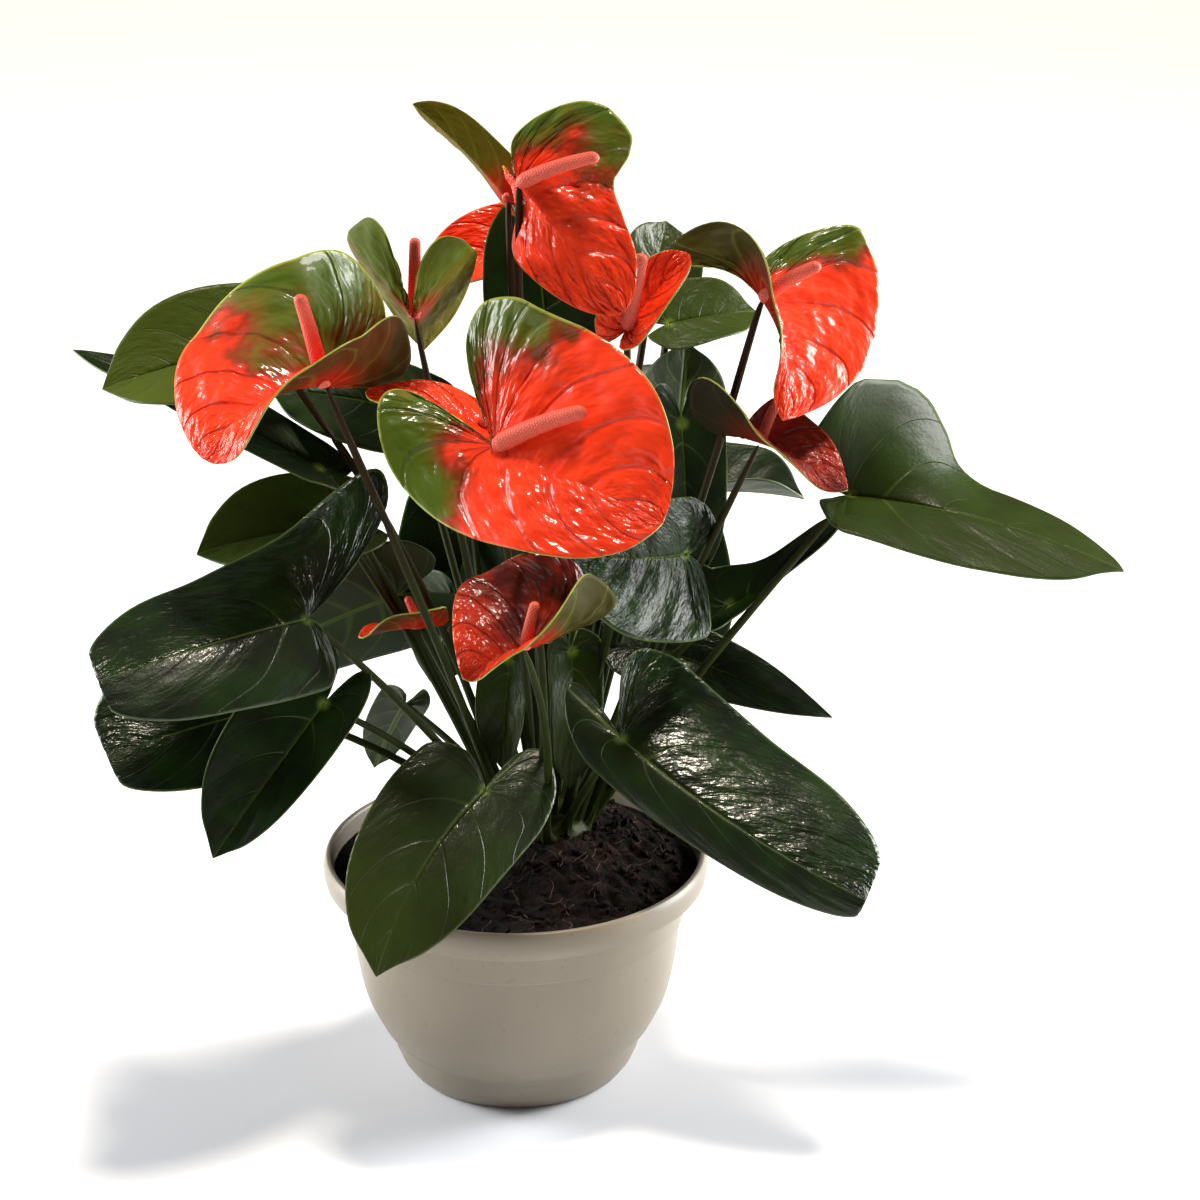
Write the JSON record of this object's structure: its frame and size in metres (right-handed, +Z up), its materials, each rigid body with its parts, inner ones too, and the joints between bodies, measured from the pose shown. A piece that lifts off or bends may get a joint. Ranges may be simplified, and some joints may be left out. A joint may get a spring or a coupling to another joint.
{
  "type": "potted flamingo flower",
  "caption": "Flamingo flower in a round nursery pot, with glossy heart-shaped leaves and red heart-shaped spathes that each carry a finger-like spadix; it stands as a decorative house plant.",
  "frame": {"origin": "centre of the pot base, on the surface that the pot stands on", "axes": "+Z up; -Y is the front of the plant, +X its right-hand side as seen from the front"},
  "size_m": [0.4742, 0.3508, 0.4624],
  "materials": {
    "pot_plastic": "satin warm grey moulded plastic",
    "potting_soil": "rough dark peat with brown fibres",
    "stalks": "smooth olive-green stalks",
    "leaf_blade": "glossy dark green leaf with lighter veins",
    "spathe": "wet-looking orange-red, green at the lobes",
    "spadix": "salmon pink, finely studded"
  },
  "bodies": {
    "root": {"pot": "pot_plastic", "soil": "potting_soil", "stems": "stalks", "leaf_front_left": "leaf_blade", "leaf_front_right": "leaf_blade", "leaf_right_mid": "leaf_blade", "leaf_centre_gloss": "leaf_blade", "leaf_dark_mid": "leaf_blade", "leaf_far_right": "leaf_blade", "leaf_right_twist": "leaf_blade", "leaf_right_small": "leaf_blade", "leaf_back_right": "leaf_blade", "leaf_back_top": "leaf_blade", "leaf_olive_up": "leaf_blade", "leaf_top_dark": "leaf_blade", "leaf_left_back": "leaf_blade", "leaf_left_upper": "leaf_blade", "leaf_left_long": "leaf_blade", "leaf_left_mid": "leaf_blade", "leaf_left_big": "leaf_blade", "leaf_left_low": "leaf_blade", "leaf_left_hang": "leaf_blade", "leaf_pale_under": "leaf_blade", "leaf_back_low_left": "leaf_blade", "leaf_olive_mid": "leaf_blade", "leaf_inner_left": "leaf_blade", "leaf_inner_right": "leaf_blade", "leaf_behind_right": "leaf_blade", "leaf_behind_left": "leaf_blade", "leaf_behind_mid": "leaf_blade", "leaf_rear_left": "leaf_blade", "leaf_rear_mid": "leaf_blade", "spathe_centre": "spathe", "spathe_top": "spathe", "spathe_top_back": "spathe", "spathe_small_top": "spathe", "spathe_left": "spathe", "spathe_left_inner": "spathe", "spathe_back_red": "spathe", "spathe_right": "spathe", "spathe_dark_right": "spathe", "spathe_low": "spathe", "spathe_hidden": "spathe", "spathe_behind": "spathe", "spadix_centre": "spadix", "spadix_top": "spadix", "spadix_top_back": "spadix", "spadix_small_top": "spadix", "spadix_left": "spadix", "spadix_left_inner": "spadix", "spadix_back_red": "spadix", "spadix_right": "spadix", "spadix_dark_right": "spadix", "spadix_low": "spadix", "spadix_hidden": "spadix", "spadix_behind": "spadix"}
  },
  "joints": []
}
